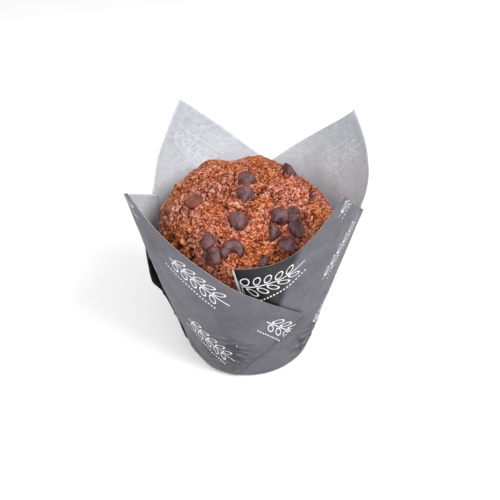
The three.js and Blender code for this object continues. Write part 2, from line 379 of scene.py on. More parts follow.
def cut_under(petal, pleat, azimuth, height, cover):
    """Where a column that would reach an azimuth and height ends, when it stays under the outer rim."""
    end = azimuth
    for _ in range(6):
        low = min(over_rim(petal, pleat, end) - cover, height)
        end = pleat["root"] + (azimuth - pleat["root"]) * low / height
    return end, low


def rising_columns(petal, before, back, sheet_tip):
    """The columns from the inner fold before a petal to its tip. back is 360 where azimuths start anew."""
    start, (start_rim, start_height) = before["root"] - back, before["inner"]
    start_rim -= back
    tip, top = petal["azimuth"], petal["height"]
    columns = []
    for t in np.arange(PANEL_COLUMNS) / PANEL_COLUMNS:
        height = start_height + (top - start_height) * t ** before["rise"]
        columns.append(column(start + (tip - start) * t, start_rim + (tip - start_rim) * t, height,
                              sheet_tip - INNER_SHARE * (1 - t), 0.0, before, inner=1 - t))
    return columns


def falling_columns(petal, after, sheet_tip):
    """The columns from a petal's tip to its outer fold, which come to lie outside the next petal."""
    tip, root, outer_rim = petal["azimuth"], after["root"], after["outer"][0]
    columns = []
    for t in np.arange(PANEL_COLUMNS + 1) / PANEL_COLUMNS:
        rim = tip + (outer_rim - tip) * t
        out = 2 * LAYER_STEP * smoothstep(t / 0.42)
        columns.append(column(tip + (root - tip) * t, rim, over_rim(petal, after, rim),
                              sheet_tip + OUTER_SHARE * t, out, after, outer=t))
    return columns


def middle_columns(petal, after, sheet_fold):
    """The columns of a pleat's middle layer, from its outer fold back to its inner one."""
    outer_rim, outer_height = after["outer"]
    inner_rim, inner_height = after["inner"]
    columns = []
    for t in 1 - (1 - np.arange(MIDDLE_COLUMNS + 1) / MIDDLE_COLUMNS) ** 1.6:
        rim = outer_rim + (inner_rim - outer_rim) * t
        height = outer_height + (inner_height - outer_height) * t
        near_inner = smoothstep(3 * t - 2)
        if t < 1:
            cover = 1.5 * smoothstep(8 * t) + after["tuck"] * near_inner
            rim, height = cut_under(petal, after, rim, height, cover)
        columns.append(column(after["root"], rim, height, sheet_fold + MIDDLE_SHARE * t, LAYER_STEP, after,
                              inner=near_inner, outer=1 - t))
    return columns


def petal_columns(index):
    """A petal's columns, from the inner fold before it to its outer fold, and on to the next inner one."""
    petal, before, after = PETALS[index], PLEATS[index - 1], PLEATS[index]
    back = 360 if index == 0 else 0
    sheet_tip = 45 + 90 * index
    sheet_fold = sheet_tip + OUTER_SHARE
    outer_end = (after["root"], *after["outer"], sheet_fold)
    inner_end = (after["root"], *after["inner"], sheet_fold + MIDDLE_SHARE)
    return [*rising_columns(petal, before, back, sheet_tip),
            *falling_columns(petal, after, sheet_tip),
            *fold(outer_end, 2 * LAYER_STEP, LAYER_STEP, 1, pleat=after, outer=1.0),
            *middle_columns(petal, after, sheet_fold),
            *fold(inner_end, LAYER_STEP, 0.0, -1, pleat=after, inner=1.0)]


def crushed_at(azimuth, height):
    """How crushed the wall is, from 0 to 1."""
    around, up = CRUSHED_SPREAD
    crushed = np.zeros_like(height)
    for at, level in CRUSHED:
        turn = (azimuth - at + 180) % 360 - 180
        crushed = np.maximum(crushed, np.exp(-(turn / around) ** 2 - ((height - level) / up) ** 2))
    return crushed


def crinkle(points, azimuth, height, crushed):
    """How far the paper's wall stands off its smooth form, the same for all the layers in one place."""
    around = np.radians(azimuth) * WALL_RADIUS
    level = np.zeros_like(around)
    spiral = np.stack([(around + 0.9 * height) / 1.7, (height - 0.5 * around) / 0.75, level], -1)
    slanted = np.stack([around / 3.2, height + 0.22 * around, level], -1)
    broad = 0.6 * noise(points, 21, 3) * smoothstep(height / 40 - 0.9)
    flutter = 0.22 * noise(points, 6.5, 13) * smoothstep(height / 6)
    ridge = 1 - np.abs(noise(spiral, 8, 7))
    low = smoothstep(height / 8) * smoothstep((46 - height) / 20)
    patchy = 0.35 + 0.65 * smoothstep(noise(points, 17, 9) + 0.5)
    crumple = 0.6 * low * patchy * (ridge ** 4 - 0.35)
    creases = 1 - np.abs(noise(slanted, 2.7, 15))
    return broad + crumple + flutter + 0.5 * crushed * (creases ** 3 - 0.5)


def strip_points(strip, v):
    """A column's points on the sheet's outer face, at shares v of its way up, and how crushed they are."""
    pleat = strip["pleat"]
    azimuth = strip["root"] + (strip["rim"] - strip["root"]) * v
    height = strip["height"] * v
    raised = smoothstep(height / 7)
    held = smoothstep(np.minimum((v - 0.62) / 0.17, (1.08 - v) / 0.36))
    loose = 0.4 + 0.6 * smoothstep((height - 14) / 20)
    lift = pleat["lift"] * strip["outer"] ** 5 * held + FOLD_STAND_OFF * strip["outer"] ** 12 * loose
    tucked = smoothstep(1.6 * strip["inner"] - 0.6)
    tuck = pleat["tuck"] * tucked * smoothstep((height - 40) / 22)
    azimuth = azimuth + pleat["curl"] * strip["inner"] ** 6 * smoothstep((height - 52) / 12)
    radius = wall_radius(azimuth, height)
    out = strip["out"] * smoothstep(height / 3.5) + lift - tuck
    bare = polar(radius, azimuth, height)
    crushed = crushed_at(azimuth, height)
    radius = radius + out + crinkle(bare, azimuth, height, crushed) * raised
    slid = azimuth + np.degrees(strip["slide"] * raised / radius)
    return polar(radius, slid, height), crushed


def strip_painted_shade(strip, points):
    """How much painted shade a column gets, from 0 to 1: only near its pleat's folds, and not at the foot.
    """
    from_inner, from_outer = strip["pleat"]["painted_shade_reach"]
    reached = strip["inner"] - 1 + from_inner
    if strip["outer"] < 1:
        reached = max(reached, strip["outer"] - 1 + from_outer)
    uneven = 0.05 * noise(points, 9, 17)
    return smoothstep((reached + uneven) / 0.1) * smoothstep((points[:, 2] - 22) / 8)


def strip_sheet(strip, points):
    """A column's places on the flat sheet, reckoned along the paper from the sheet's edge."""
    steps = np.linalg.norm(np.diff(points, axis=0), axis=1)
    below_rim = np.concatenate([np.cumsum(steps[::-1])[::-1], [0]])
    direction = math.radians(strip["sheet"])
    edge = SHEET_SIDE / 2 / max(abs(math.cos(direction)), abs(math.sin(direction)))
    reach = edge - below_rim
    return np.stack([reach * math.cos(direction), reach * math.sin(direction)], -1)


def sheet_surface():
    """The sheet's outer face and its places on the flat sheet, by column and row, how much painted shade it
    gets back from the pleats' folds, how crushed it is, and where it turns at an outer fold, which gets a
    painted shadow."""
    v = np.linspace(0, 1, SHEET_ROWS + 1) ** 1.25
    surface, flat = [], []
    shade_and_crush = {"painted_shade": [], "crushed": [], "folded": []}
    for strip in [strip for index in range(len(PETALS)) for strip in petal_columns(index)]:
        points, crushed = strip_points(strip, v)
        surface.append(points)
        flat.append(strip_sheet(strip, points))
        shade_and_crush["painted_shade"].append(strip_painted_shade(strip, points))
        shade_and_crush["crushed"].append(crushed)
        shade_and_crush["folded"].append(np.full(len(v), float(strip["outer"] == 1)))
    return np.array(surface), np.array(flat), shade_and_crush


def grid_normals(points):
    """Unit normals of a grid that closes on itself along its columns."""
    around = np.roll(points, -1, 0) - np.roll(points, 1, 0)
    up = np.gradient(points, axis=1)
    normal = np.cross(around, up)
    length = np.linalg.norm(normal, axis=-1, keepdims=True)
    return np.where(length > 1e-9, normal / np.maximum(length, 1e-9), [0.0, 0.0, -1.0])


def sheet_faces(strips, rows):
    """The faces over a grid of outer points, a like grid of inner ones, and the middles of the base's two
    sides, and each one's finish: 0 for the printed face, 1 for the plain one, 2 for the cut edge."""
    count = strips * rows
    top = rows - 1
    faces, kinds = [], []
    for c in range(strips):
        a, b = c * rows, (c + 1) % strips * rows
        for r in range(top):
            faces.append((a + r, b + r, b + r + 1, a + r + 1))
            faces.append((count + a + r + 1, count + b + r + 1, count + b + r, count + a + r))
            kinds += [0, 1]
        faces.append((a + top, b + top, count + b + top, count + a + top))
        faces.append((2 * count, b, a))
        faces.append((2 * count + 1, count + a, count + b))
        kinds += [2, 0, 1]
    return faces, kinds


def make_paper():
    """The folded sheet as one closed piece: printed face, plain face, and cut edge."""
    outer, flat, shade_and_crush = sheet_surface()
    inner = outer - grid_normals(outer) * SHEET_THICKNESS
    middles = [[0, 0, 0], [0, 0, SHEET_THICKNESS]]
    points = np.concatenate([outer.reshape(-1, 3), inner.reshape(-1, 3), middles])
    points[:, 2] = np.maximum(points[:, 2], 0)
    places = np.concatenate([flat.reshape(-1, 2), flat.reshape(-1, 2), [[0, 0], [0, 0]]])
    faces, kinds = sheet_faces(*outer.shape[:2])
    piece = new_piece("paper_sheet", points, faces)
    for finish in (printed_face(), plain_face(), cut_edge()):
        piece.data.materials.append(finish)
    piece.data.polygons.foreach_set("material_index", kinds)
    corners = np.zeros(len(piece.data.loops), np.int64)
    piece.data.loops.foreach_get("vertex_index", corners)
    layer = piece.data.uv_layers.new(name="flat_sheet")
    layer.data.foreach_set("uv", (places[corners] * MM).astype(np.float32).ravel())
    for name, values in shade_and_crush.items():
        add_number(piece.data, name, np.concatenate([*values, *values, [0, 0]]))
    merged = bmesh.new()
    merged.from_mesh(piece.data)
    bmesh.ops.remove_doubles(merged, verts=merged.verts, dist=MERGE_DISTANCE * MM)
    merged.to_mesh(piece.data)
    merged.free()
    return piece


# ---------------------------------------------------------------- the crumb


def crown_lump(azimuth, rise):
    """How far the crown swells out of round. rise is 0 at its top and 1 at its widest level."""
    angle = np.radians(azimuth)
    broad = np.sin(3 * angle + 1.1) + 0.7 * np.sin(5 * angle + 4 * rise)
    fine = 0.5 * np.sin(8 * angle - 3 * rise)
    return 0.7 * (broad + fine) * np.sin(np.pi * np.minimum(rise, 0.5))


def crown_surface(azimuth, elevation):
    """Points of the smooth crown: elevation 0 is its widest level and 90 its top."""
    rise = np.sin(np.radians(elevation))
    radius = (CROWN_RADIUS + crown_lump(azimuth, 1 - rise)) * np.cos(np.radians(elevation))
    centre = np.array([CROWN_CENTRE[0], CROWN_CENTRE[1], 0.0])
    return polar(radius, azimuth, CROWN_BASE + CROWN_RISE * rise) + centre


def inside_paper(points):
    """Moves points in towards the axis until they clear the paper."""
    azimuth = np.degrees(np.arctan2(points[:, 1], points[:, 0]))
    limit = wall_radius(azimuth, points[:, 2]) - CRUMB_CLEARANCE
    share = np.minimum(1, limit / np.maximum(np.hypot(points[:, 0], points[:, 1]), 1e-6))
    return points * np.stack([share, share, np.ones_like(share)], -1)


def crown_elevations():
    """Elevations of the rings, evenly spaced along the crown's slope from its top."""
    angle = np.linspace(90, 0, 2000)
    slope = np.stack([CROWN_RADIUS * np.cos(np.radians(angle)), CROWN_RISE * np.sin(np.radians(angle))], -1)
    length = np.concatenate([[0], np.cumsum(np.linalg.norm(np.diff(slope, axis=0), axis=1))])
    return np.interp(np.linspace(0, length[-1], CROWN_RINGS + 1), length, angle)


def ring_faces(inner_start, inner_count, outer_start, outer_count):
    """Triangles between a ring and the next one out, which has six more points."""
    faces = []
    i = 0
    for j in range(outer_count):
        ahead = (j + 1) / outer_count
        faces.append((inner_start + i % inner_count, outer_start + j, outer_start + (j + 1) % outer_count))
        if (i + 1) / inner_count <= ahead + 1e-9 and inner_count > 1:
            following = inner_start + (i + 1) % inner_count
            faces.append((inner_start + i % inner_count, outer_start + (j + 1) % outer_count, following))
            i += 1
    return faces


def crumb_mesh():
    """The smooth muffin: rings over the crown, rows down the side, and the foot."""
    elevations = crown_elevations()
    points, faces, starts, counts = [crown_surface(np.zeros(1), 90.0)], [], [0], [1]
    for k in range(1, CROWN_RINGS + 1):
        azimuth = np.arange(6 * k) * 60.0 / k
        points.append(crown_surface(azimuth, elevations[k]))
        starts.append(starts[-1] + counts[-1])
        counts.append(6 * k)
        faces += ring_faces(starts[-2], counts[-2], starts[-1], counts[-1])
    around = counts[-1]
    azimuth = np.arange(around) * 360.0 / around
    fine = np.linspace(CROWN_BASE, SIDE_FINE_END, SIDE_FINE_ROWS + 1)[1:]
    plain = np.linspace(SIDE_FINE_END, FOOT_HEIGHT, SIDE_PLAIN_ROWS + 1)[1:]
    for height in np.concatenate([fine, plain]):
        edge = crown_surface(azimuth, 0.0)
        edge[:, 2] = height
        points.append(edge)
        upper = starts[-1]
        starts.append(upper + around)
        for j in range(around):
            n = (j + 1) % around
            faces.append((upper + j, starts[-1] + j, starts[-1] + n, upper + n))
    foot = starts[-1] + around
    points.append(np.array([[0.0, 0.0, FOOT_HEIGHT]]))
    faces += [(foot, starts[-1] + (j + 1) % around, starts[-1] + j) for j in range(around)]
    return inside_paper(np.concatenate(points)), faces


def grain_relief(distance, own):
    """A grain's relief: a height of its own, rounded off with the distance from its middle."""
    return 0.6 * (own - 0.5) + 0.5 * (0.35 - distance ** 2)


def crumb_relief(points):
    """The crumb's height over its smooth form, how deep in a pit each point lies, how high on a grain,
    and its grain's own tone, the last three from 0 to 1."""
    swell = 0.5 * noise(points, 12, 21) + 0.45 * noise(points, 5.5, 22)
    for x, y, width, height in SWELLS:
        away = np.hypot(points[:, 0] - x, points[:, 1] - y)
        swell += height * np.exp(-(away / width) ** 2) * (points[:, 2] > CROWN_BASE)
    warped = points + 0.45 * np.stack([noise(points, 1.4, seed) for seed in (5, 6, 7)], -1)
    clump, clump_edge, clump_own = cells(warped, CLUMP_SIZE, 31)
    coarse, _, coarse_own = cells(warped, COARSE_SIZE, 33)
    fine, _, fine_own = cells(warped, FINE_SIZE, 41)
    open_crumb = smoothstep(0.5 + 1.2 * noise(points, 8, 61))
    lumps = 0.4 * (clump_own - 0.5) + 0.25 * (0.4 - clump ** 2)
    grains = grain_relief(coarse, coarse_own) * (0.5 + 0.75 * open_crumb)
    grains += grain_relief(fine, fine_own) * (0.7 + 0.6 * open_crumb)
    gap = smoothstep(1 - clump_edge / 0.13) * smoothstep(noise(points, 4.5, 81) + 0.35)
    pit = smoothstep((noise(points, 1.6, 71) - 0.3) / 0.2) * (0.25 + 0.75 * open_crumb)
    hole = np.maximum(pit, 0.8 * gap)
    relief = swell + lumps + grains - PIT_DEPTH * hole
    height = np.clip(0.45 + 0.9 * (grains + 0.3 * lumps), 0, 1)
    return relief, np.clip(hole + 1.6 * (0.28 - height), 0, 1), height, fine_own


def open_sockets(points, normals, chips):
    """Pushes the crumb down under each chip and raises a lip of crumb round it. Returns the points, and
    how much of a lip each one is on, from 0 to 1."""
    lip_here = smoothstep(0.5 + 1.3 * noise(points, 2.6, 91))
    points = points.copy()
    lip = np.zeros(len(points))
    for chip in chips:
        corners = np.array([v.co for v in chip.data.vertices]) / MM
        tree = BVHTree.FromPolygons(corners.tolist(), [tuple(p.vertices) for p in chip.data.polygons])
        middle = corners.mean(0)
        reach = np.linalg.norm(corners - middle, axis=1).max() + SOCKET_REACH
        for index in np.nonzero(np.linalg.norm(points - middle, axis=1) < reach)[0]:
            point = Vector(points[index])
            nearest, normal, _, distance = tree.find_nearest(point)
            if (point - nearest).dot(normal) > 0:
                near = math.exp(-((distance - LIP_PLACE) / LIP_WIDTH) ** 2)
                points[index] += normals[index] * LIP_HEIGHT * near * lip_here[index]
                lip[index] = max(lip[index], near * lip_here[index])
                continue
            down = Vector(-normals[index])
            exit_point = tree.ray_cast(point, down)[0]
            depth = (exit_point - point).length if exit_point else distance
            points[index] = point + down * (depth + SOCKET_GAP)
    return points, lip


def make_crumb(chips):
    points, faces = crumb_mesh()
    normals = mesh_normals(points, faces)
    relief, pit, grain, tone = crumb_relief(points)
    free = smoothstep((points[:, 2] - SIDE_FINE_END + 2) / 6)
    moved = points + normals * (relief * free)[:, None]
    moved, lip = open_sockets(moved, normals, chips)
    piece = new_piece("muffin_crumb", moved, faces)
    piece.data.materials.append(crumb_finish())
    for name, values in (("pit", pit), ("grain", grain), ("tone", tone), ("lip", lip)):
        add_number(piece.data, name, values)
    return piece


# ---------------------------------------------------------------- the chips


def ringed_form(start, rings, end):
    """A closed form through rings of CHIP_SIDES points each, from one end point to the other."""
    points = np.concatenate([[start], *rings, [end]])
    last = 1 + (len(rings) - 1) * CHIP_SIDES
    faces = []
    for j in range(CHIP_SIDES):
        n = (j + 1) % CHIP_SIDES
        faces.append((0, 1 + n, 1 + j))
        for low in range(1, last, CHIP_SIDES):
            faces.append((low + j, low + n, low + CHIP_SIDES + n, low + CHIP_SIDES + j))
        faces.append((last + j, last + n, len(points) - 1))
    return points, faces


def drop_form(bend, wide):
    """A soft drop of chocolate on its own axis, standing on its flat base with its middle at the
    origin: points, faces, and how near each point is to the flat base, from 0 to 1."""
    flat = [(share, 0.0) for share in np.linspace(0, 0.86, 7)[1:]]
    edge = [(0.86 + 0.14 * math.sin(a), 0.09 - 0.09 * math.cos(a)) for a in np.linspace(0.35, 1.57, 4)]
    side = [((1 - t ** 1.3) ** 0.86, 0.09 + 0.91 * t) for t in np.linspace(0.05, 1, CHIP_RINGS)[:-1]]
    angle = np.arange(CHIP_SIDES) * 360 / CHIP_SIDES
    rings = [polar(CHIP_RADIUS * share, angle, CHIP_HEIGHT * level) for share, level in flat + edge + side]
    points, faces = ringed_form([0, 0, 0], rings, [0, 0, CHIP_HEIGHT])
    share = points[:, 2] / CHIP_HEIGHT
    points[:, 0] += bend * share ** 2
    points[:, 1] *= wide
    points[:, 2] -= CHIP_HEIGHT / 2
    return points, faces, 1 - smoothstep(share / 0.12)


def curled_form():
    """A chip that softened and curled as it baked, a bent bead of chocolate that lies on its side: the
    same three results as drop_form(), but with no flat base."""
    turns = np.radians(np.linspace(*CURL_SPAN, CHIP_RINGS))
    thick = CURL_THICKNESS * (1 - np.abs(np.linspace(-1, 1, CHIP_RINGS)) ** 4) ** 0.5
    around = np.arange(CHIP_SIDES) * 2 * math.pi / CHIP_SIDES
    rings = []
    for turn, radius in zip(turns, thick):
        out = CURL_RADIUS + radius * np.cos(around)
        rings.append(np.stack([out * math.cos(turn), out * math.sin(turn), -radius * np.sin(around)], -1))
    start, end = rings[0].mean(0), rings[-1].mean(0)
    points, faces = ringed_form(start, rings[1:-1], end)
    return (points - [0, CURL_SHIFT, 0]) * [1, CURL_STRETCH, 1], faces, np.zeros(len(points))


def pressed(points, index):
    """The chip with a few flats, where crumb or another chip pressed on it while it was soft."""
    draw = np.random.default_rng(500 + index)
    for _ in range(CHIP_FLATS):
        way = draw.normal(size=3)
        way /= np.linalg.norm(way)
        reach = points @ way
        beyond = np.maximum(reach - draw.uniform(*FLAT_SHARE) * reach.max(), 0)
        points = points - 0.85 * beyond[:, None] * way
    return points


def seat(azimuth, tilt, lean, heading, sink):
    """The turn and the place that set a chip on the crown."""
    azimuth, tilt, lean, heading = (math.radians(angle) for angle in (azimuth, tilt, lean, heading))
    across = Vector((math.cos(azimuth), math.sin(azimuth), 0))
    up = Vector((0, 0, 1))
    middle = Vector((CROWN_CENTRE[0], CROWN_CENTRE[1], CROWN_BASE))
    surface = middle + across * CROWN_RADIUS * math.sin(tilt) + up * CROWN_RISE * math.cos(tilt)
    normal = (across * math.sin(tilt) / CROWN_RADIUS + up * math.cos(tilt) / CROWN_RISE).normalized()
    level = Vector((math.cos(heading), math.sin(heading), 0))
    sideways = (level - normal * level.dot(normal)).normalized()
    axis = normal * math.cos(lean) + sideways * math.sin(lean)
    turn = up.rotation_difference(axis).to_matrix()
    return np.array(turn), np.array(surface + normal * (CHIP_HEIGHT / 2 - sink))


def make_chip(chip, index, finish):
    azimuth, tilt, lean, heading, sink, size, bend, wide = chip
    local, faces, base = curled_form() if index == CURLED_CHIP else drop_form(bend, wide)
    local = pressed(local * size, index)
    turn, place = seat(azimuth, tilt, lean, heading, sink)
    points = local @ turn.T + place
    normals = mesh_normals(points, faces)
    uneven = 0.22 * noise(points, 2.2, 200 + index) + 0.1 * noise(points, 0.8, 300 + index)
    piece = new_piece(f"chip_{index:02d}", points + normals * uneven[:, None], faces)
    piece.data.materials.append(finish)
    add_number(piece.data, "swirl", base * np.hypot(local[:, 0], local[:, 1]))
    add_number(piece.data, "base", base)
    add_number(piece.data, "filmed", np.full(len(points), float(index in FILMED_CHIPS)))
    return piece


# ---------------------------------------------------------------- materials


def new_material(name):
    material = bpy.data.materials.new(name)
    material.use_nodes = True
    return material, material.node_tree, material.node_tree.nodes["Principled BSDF"]


def add_node(tree, kind, inputs=None, **settings):
    """A node with its settings made, and its inputs linked or filled by name or number."""
    made = tree.nodes.new(kind)
    for key, value in settings.items():
        setattr(made, key, value)
    for key, value in (inputs or {}).items():
        if isinstance(value, bpy.types.NodeSocket):
            tree.links.new(value, made.inputs[key])
        else:
            made.inputs[key].default_value = value
    return made


def calc(tree, operation, *values, clamp=False):
    """The result of one math node."""
    made = add_node(tree, "ShaderNodeMath", dict(enumerate(values)), operation=operation, use_clamp=clamp)
    return made.outputs[0]


def mix(tree, share, first, second):
    """A colour between two, by a share from 0 to 1. Each is a socket, or its red, green and blue."""
    ends = [end if isinstance(end, bpy.types.NodeSocket) else (*end, 1) for end in (first, second)]
    made = add_node(tree, "ShaderNodeMix", {0: share, 6: ends[0], 7: ends[1]}, data_type="RGBA")
    return made.outputs[2]


def attribute(tree, name):
    return add_node(tree, "ShaderNodeAttribute", attribute_name=name).outputs["Fac"]


def split_place(tree):
    """Each point's place on its object, in metres, and the same as separate x, y and height."""
    place = add_node(tree, "ShaderNodeTexCoord").outputs["Object"]
    return place, *add_node(tree, "ShaderNodeSeparateXYZ", {0: place}).outputs


def texture_noise(tree, place, scale, detail=3.0, roughness=0.5, distortion=0.0):
    made = add_node(tree, "ShaderNodeTexNoise", {
        "Vector": place, "Scale": scale, "Detail": detail, "Roughness": roughness, "Distortion": distortion})
    return made.outputs["Fac"]


def ramp(tree, value, low, high):
    """value taken from the range low to high onto 0 to 1, and held there."""
    made = add_node(tree, "ShaderNodeMapRange", {0: value, 1: low, 2: high})
    return made.outputs[0]


def within(tree, value, middle, half):
    """1 where a value is within half of the middle, 0 elsewhere."""
    return calc(tree, "COMPARE", value, middle, half)


def repeat(tree, value, pitch):
    """A value brought to within half a pitch of 0 by whole pitches."""
    return calc(tree, "WRAP", value, pitch / 2, -pitch / 2)


def share_squared(tree, value, whole):
    return calc(tree, "POWER", calc(tree, "DIVIDE", calc(tree, "ABSOLUTE", value), whole), 2.0)


def grain_mask(tree, along, across):
    """1 on the outlines of the two rows of leaning grains, 0 elsewhere."""
    lean = math.radians(GRAIN_LEAN)
    beside = calc(tree, "SUBTRACT", calc(tree, "ABSOLUTE", across), GRAIN_SIDE)
    step = repeat(tree, along, GRAIN_PITCH)
    u = calc(tree, "MULTIPLY_ADD", beside, math.sin(lean), calc(tree, "MULTIPLY", step, math.cos(lean)))
    w = calc(tree, "MULTIPLY_ADD", beside, math.cos(lean), calc(tree, "MULTIPLY", step, -math.sin(lean)))
    oval = calc(tree, "ADD", share_squared(tree, u, GRAIN_HALF), share_squared(tree, w, GRAIN_HALF_WIDTH))
    outline = within(tree, oval, GRAIN_LINE, GRAIN_LINE_HALF_WIDTH)
    return calc(tree, "MULTIPLY", outline, within(tree, along, 0.0, GRAINS_HALF))


def stem_mask(tree, along, across):
    """1 on the stem, 0 elsewhere."""
    return calc(tree, "MULTIPLY", within(tree, across, 0.0, STEM_HALF_WIDTH),
                within(tree, along, STEM_MIDDLE, STEM_HALF))


def dash_mask(tree, along, across):
    """1 on the line of dashes beside an ear, 0 elsewhere."""
    dash = calc(tree, "MULTIPLY", within(tree, across, DASH_SIDE, DASH_HALF_WIDTH),
                within(tree, repeat(tree, along, DASH_PITCH), 0.0, DASH_HALF))
    return calc(tree, "MULTIPLY", dash, within(tree, along, 0.0, DASHES_HALF))


def print_mask(tree):
    """1 on the printed ears of wheat and dashes, 0 elsewhere, from the place on the flat sheet."""
    sheet = add_node(tree, "ShaderNodeUVMap", uv_map="flat_sheet").outputs[0]
    x, y, _ = add_node(tree, "ShaderNodeSeparateXYZ", {0: sheet}).outputs
    x = calc(tree, "MULTIPLY", x, 1 / MM)
    y = calc(tree, "MULTIPLY_ADD", y, 1 / MM, SHEET_SIDE / 2 - FIRST_ROW)
    row = calc(tree, "ROUND", calc(tree, "DIVIDE", y, ROW_PITCH))
    across = calc(tree, "MULTIPLY_ADD", row, -ROW_PITCH, y)
    along = repeat(tree, calc(tree, "MULTIPLY_ADD", row, EAR_PITCH / 2, x), EAR_PITCH)
    ear = calc(tree, "MAXIMUM", grain_mask(tree, along, across), stem_mask(tree, along, across))
    printed = calc(tree, "MAXIMUM", ear, dash_mask(tree, along, across))
    height = split_place(tree)[3]
    return calc(tree, "MULTIPLY", printed, calc(tree, "GREATER_THAN", height, PRINT_FOOT * MM))


def crease_lines(tree, place, scale, distortion):
    """0 along winding creases, up to 0.5 between them."""
    waves = texture_noise(tree, place, scale, 2, 0.5, distortion)
    return calc(tree, "ABSOLUTE", calc(tree, "SUBTRACT", waves, 0.5))


def level_creases(tree):
    """Short creases, nearly level, round the wall: 0 along each of them, up to 0.5 between them."""
    _, x, y, height = split_place(tree)
    turn = calc(tree, "ARCTAN2", x, calc(tree, "MULTIPLY", y, -1.0))
    around = calc(tree, "MULTIPLY", turn, CREASE_LENGTH * MM)
    tilted = calc(tree, "MULTIPLY_ADD", around, 0.5, height)
    level = add_node(tree, "ShaderNodeCombineXYZ", {0: around, 1: tilted, 2: 0.011}).outputs[0]
    return crease_lines(tree, level, 290, 0.3)


def paper_bump(tree, strength):
    """Soft creases all over, level ones where the wall is crushed, and a fine fibre grain."""
    place, _, _, height = split_place(tree)
    soft = calc(tree, "MINIMUM", crease_lines(tree, place, 95, 0.6), 0.1)
    low = calc(tree, "MULTIPLY", ramp(tree, height, 38 * MM, 20 * MM), ramp(tree, height, 2 * MM, 8 * MM))
    share = calc(tree, "MULTIPLY_ADD", attribute(tree, "crushed"), 5.0, low)
    folds = calc(tree, "MULTIPLY_ADD", calc(tree, "MINIMUM", level_creases(tree), 0.1), share, soft)
    relief = calc(tree, "MULTIPLY_ADD", texture_noise(tree, place, 1500, 4, 0.6), 0.08, folds)
    bump = add_node(tree, "ShaderNodeBump", {"Strength": strength, "Distance": 1.6 * MM, "Height": relief})
    return bump.outputs[0]


def printed_face():
    material, tree, shader = new_material("paper_printed")
    place = split_place(tree)[0]
    patch = calc(tree, "MULTIPLY", texture_noise(tree, place, 60, 4), 0.75)
    mottle = calc(tree, "MULTIPLY_ADD", texture_noise(tree, place, 700, 3), 0.35, patch)
    even = mix(tree, ramp(tree, mottle, 0.36, 0.7), (0.052, 0.051, 0.066), (0.092, 0.088, 0.107))
    # Painted shade: lines of deeper colour along the short creases where the wall is crushed, and along each
    # outer fold, stand in for the shadow in the creases and under the folds.
    crushed = calc(tree, "MULTIPLY", attribute(tree, "crushed"), 1.6)
    painted_crease_shade = calc(tree, "MULTIPLY", ramp(tree, level_creases(tree), 0.13, 0.04), crushed)
    painted_line_shade = calc(tree, "MAXIMUM", attribute(tree, "folded"), painted_crease_shade, clamp=True)
    line_shaded = mix(tree, painted_line_shade, even, (0.022, 0.022, 0.029))
    # Painted shade: the paper by the front pleat's inner fold and by the left pleat's outer fold is painted
    # near black for the shadow there.
    ink = mix(tree, attribute(tree, "painted_shade"), line_shaded, (0.002, 0.002, 0.0025))
    colour = mix(tree, print_mask(tree), ink, (0.66, 0.66, 0.68))
    tree.links.new(colour, shader.inputs["Base Color"])
    worn = ramp(tree, texture_noise(tree, place, 220, 3), -0.9, 1.3)
    tree.links.new(worn, shader.inputs["Roughness"])
    shader.inputs["Specular IOR Level"].default_value = 0.5
    tree.links.new(paper_bump(tree, 0.6), shader.inputs["Normal"])
    return material


def plain_face():
    """The unprinted face, with painted light making it paler deep inside, and the print showing faintly
    through.
    """
    material, tree, shader = new_material("paper_plain")
    place, _, _, height = split_place(tree)
    mottle = texture_noise(tree, place, 420, 5, 0.65)
    weathered = mix(tree, ramp(tree, mottle, 0.3, 0.7), (0.3, 0.318, 0.35), (0.4, 0.42, 0.455))
    # Painted light: the plain face grows paler from 88 mm down to 64 mm, standing in for light bounced round
    # inside the cup.
    deep = calc(tree, "MULTIPLY", ramp(tree, height, 88 * MM, 64 * MM), 0.5)
    base = mix(tree, deep, weathered, (0.58, 0.6, 0.635))
    colour = mix(tree, calc(tree, "MULTIPLY", print_mask(tree), 0.38), base, (0.72, 0.73, 0.76))
    tree.links.new(colour, shader.inputs["Base Color"])
    tree.links.new(ramp(tree, mottle, -0.2, 1.4), shader.inputs["Roughness"])
    tree.links.new(paper_bump(tree, 0.7), shader.inputs["Normal"])
    return material


def cut_edge():
    material, tree, shader = new_material("paper_edge")
    place = split_place(tree)[0]
    fray = ramp(tree, texture_noise(tree, place, 900, 3), 0.35, 0.65)
    tree.links.new(mix(tree, fray, (0.16, 0.16, 0.18), (0.3, 0.3, 0.32)), shader.inputs["Base Color"])
    shader.inputs["Roughness"].default_value = 0.7
    return material


